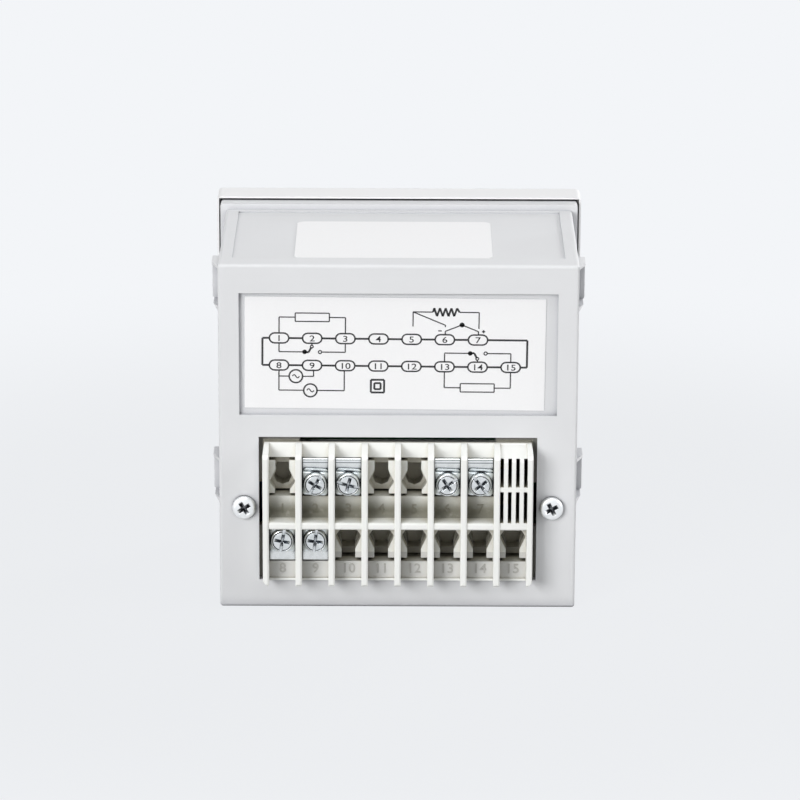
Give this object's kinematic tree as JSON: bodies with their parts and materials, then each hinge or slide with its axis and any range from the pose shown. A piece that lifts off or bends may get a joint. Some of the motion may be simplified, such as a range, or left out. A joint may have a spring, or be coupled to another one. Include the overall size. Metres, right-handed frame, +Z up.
{
  "type": "oven thermostat",
  "caption": "Square panel-mounted oven thermostat: setting knob and lamps at the front, a deep grey case, and ribbed screw terminals with metal clamps, a grille and a wiring label at the rear.",
  "frame": {"origin": "centre of the bounding box at the bezel's lower edge", "axes": "+Z up, the knob faces -Y, the terminals face +Y, +X to the right of a user facing the knob"},
  "size_m": [0.096, 0.089, 0.096],
  "materials": {
    "case_grey": "fine moulded grain, light cool grey",
    "bezel_white": "smooth moulded white",
    "block_ivory": "smooth satin white",
    "plate_dark": "satin dark front plate",
    "knob_black": "fluted satin black",
    "nickel": "nickel-plated steel",
    "zinc": "zinc-plated steel",
    "strip_metal": "bright plated strip",
    "lamp_green": "tinted lens",
    "lamp_red": "tinted lens",
    "board_green": "coated circuit board",
    "core_iron": "stacked steel sheets",
    "coil_wrap": "taped winding",
    "relay_shell": "sealed shell",
    "film_box": "potted film capacitor",
    "chip_black": "moulded package",
    "label_white": "coated white label"
  },
  "bodies": {
    "housing": {"case": "case_grey", "bezel": "bezel_white", "front_plate": "plate_dark", "pot_body": "zinc", "pot_nut": "nickel", "lamp_green": "lamp_green", "lamp_red": "lamp_red", "front_board": "board_green", "signal_board": "board_green", "power_board": "board_green", "transformer_core": "core_iron", "transformer_coil": "coil_wrap", "relay_output": "relay_shell", "relay_alarm": "relay_shell", "filter_capacitor": "film_box", "control_chip": "chip_black", "terminal_block": "block_ivory", "case_screws": "nickel", "wiring_label": "label_white", "top_label": "label_white", "strip_2": "strip_metal", "strip_3": "strip_metal", "strip_6": "strip_metal", "strip_7": "strip_metal", "strip_8": "strip_metal", "strip_9": "strip_metal"},
    "knob": {"set_knob": "knob_black", "pot_shaft": "nickel"},
    "clamp_2": {"clamp_2": "zinc"},
    "screw_2": {"screw_2": "nickel"},
    "clamp_3": {"clamp_3": "zinc"},
    "screw_3": {"screw_3": "nickel"},
    "clamp_6": {"clamp_6": "zinc"},
    "screw_6": {"screw_6": "nickel"},
    "clamp_7": {"clamp_7": "zinc"},
    "screw_7": {"screw_7": "nickel"},
    "clamp_8": {"clamp_8": "zinc"},
    "screw_8": {"screw_8": "nickel"},
    "clamp_9": {"clamp_9": "zinc"},
    "screw_9": {"screw_9": "nickel"}
  },
  "joints": [
    {"name": "set_turn", "type": "hinge", "parent": "housing", "child": "knob", "pos_m": [0, -0.0375, 0.042], "axis": [0, 1, 0], "range_deg": [0, 280]},
    {"name": "clamp_2_lift", "type": "slide", "parent": "housing", "child": "clamp_2", "axis": [0, 1, 0], "range_m": [0, 0.0025]},
    {"name": "screw_2_turn", "type": "hinge", "parent": "clamp_2", "child": "screw_2", "pos_m": [0.021, 0.0405, 0.0367], "axis": [0, 1, 0], "range_deg": [0, 1800]},
    {"name": "clamp_3_lift", "type": "slide", "parent": "housing", "child": "clamp_3", "axis": [0, 1, 0], "range_m": [0, 0.0025]},
    {"name": "screw_3_turn", "type": "hinge", "parent": "clamp_3", "child": "screw_3", "pos_m": [0.0126, 0.0405, 0.0367], "axis": [0, 1, 0], "range_deg": [0, 1800]},
    {"name": "clamp_6_lift", "type": "slide", "parent": "housing", "child": "clamp_6", "axis": [0, 1, 0], "range_m": [0, 0.0025]},
    {"name": "screw_6_turn", "type": "hinge", "parent": "clamp_6", "child": "screw_6", "pos_m": [-0.0126, 0.0405, 0.0367], "axis": [0, 1, 0], "range_deg": [0, 1800]},
    {"name": "clamp_7_lift", "type": "slide", "parent": "housing", "child": "clamp_7", "axis": [0, 1, 0], "range_m": [0, 0.0025]},
    {"name": "screw_7_turn", "type": "hinge", "parent": "clamp_7", "child": "screw_7", "pos_m": [-0.021, 0.0405, 0.0367], "axis": [0, 1, 0], "range_deg": [0, 1800]},
    {"name": "clamp_8_lift", "type": "slide", "parent": "housing", "child": "clamp_8", "axis": [0, 1, 0], "range_m": [0, 0.0025]},
    {"name": "screw_8_turn", "type": "hinge", "parent": "clamp_8", "child": "screw_8", "pos_m": [0.0294, 0.0405, 0.0216], "axis": [0, 1, 0], "range_deg": [0, 1800]},
    {"name": "clamp_9_lift", "type": "slide", "parent": "housing", "child": "clamp_9", "axis": [0, 1, 0], "range_m": [0, 0.0025]},
    {"name": "screw_9_turn", "type": "hinge", "parent": "clamp_9", "child": "screw_9", "pos_m": [0.021, 0.0405, 0.0216], "axis": [0, 1, 0], "range_deg": [0, 1800]}
  ],
  "couplings": [
    {"joint": "screw_2_turn", "follows": "clamp_2_lift", "rad_per_m": 12566},
    {"joint": "screw_3_turn", "follows": "clamp_3_lift", "rad_per_m": 12566},
    {"joint": "screw_6_turn", "follows": "clamp_6_lift", "rad_per_m": 12566},
    {"joint": "screw_7_turn", "follows": "clamp_7_lift", "rad_per_m": 12566},
    {"joint": "screw_8_turn", "follows": "clamp_8_lift", "rad_per_m": 12566},
    {"joint": "screw_9_turn", "follows": "clamp_9_lift", "rad_per_m": 12566}
  ]
}
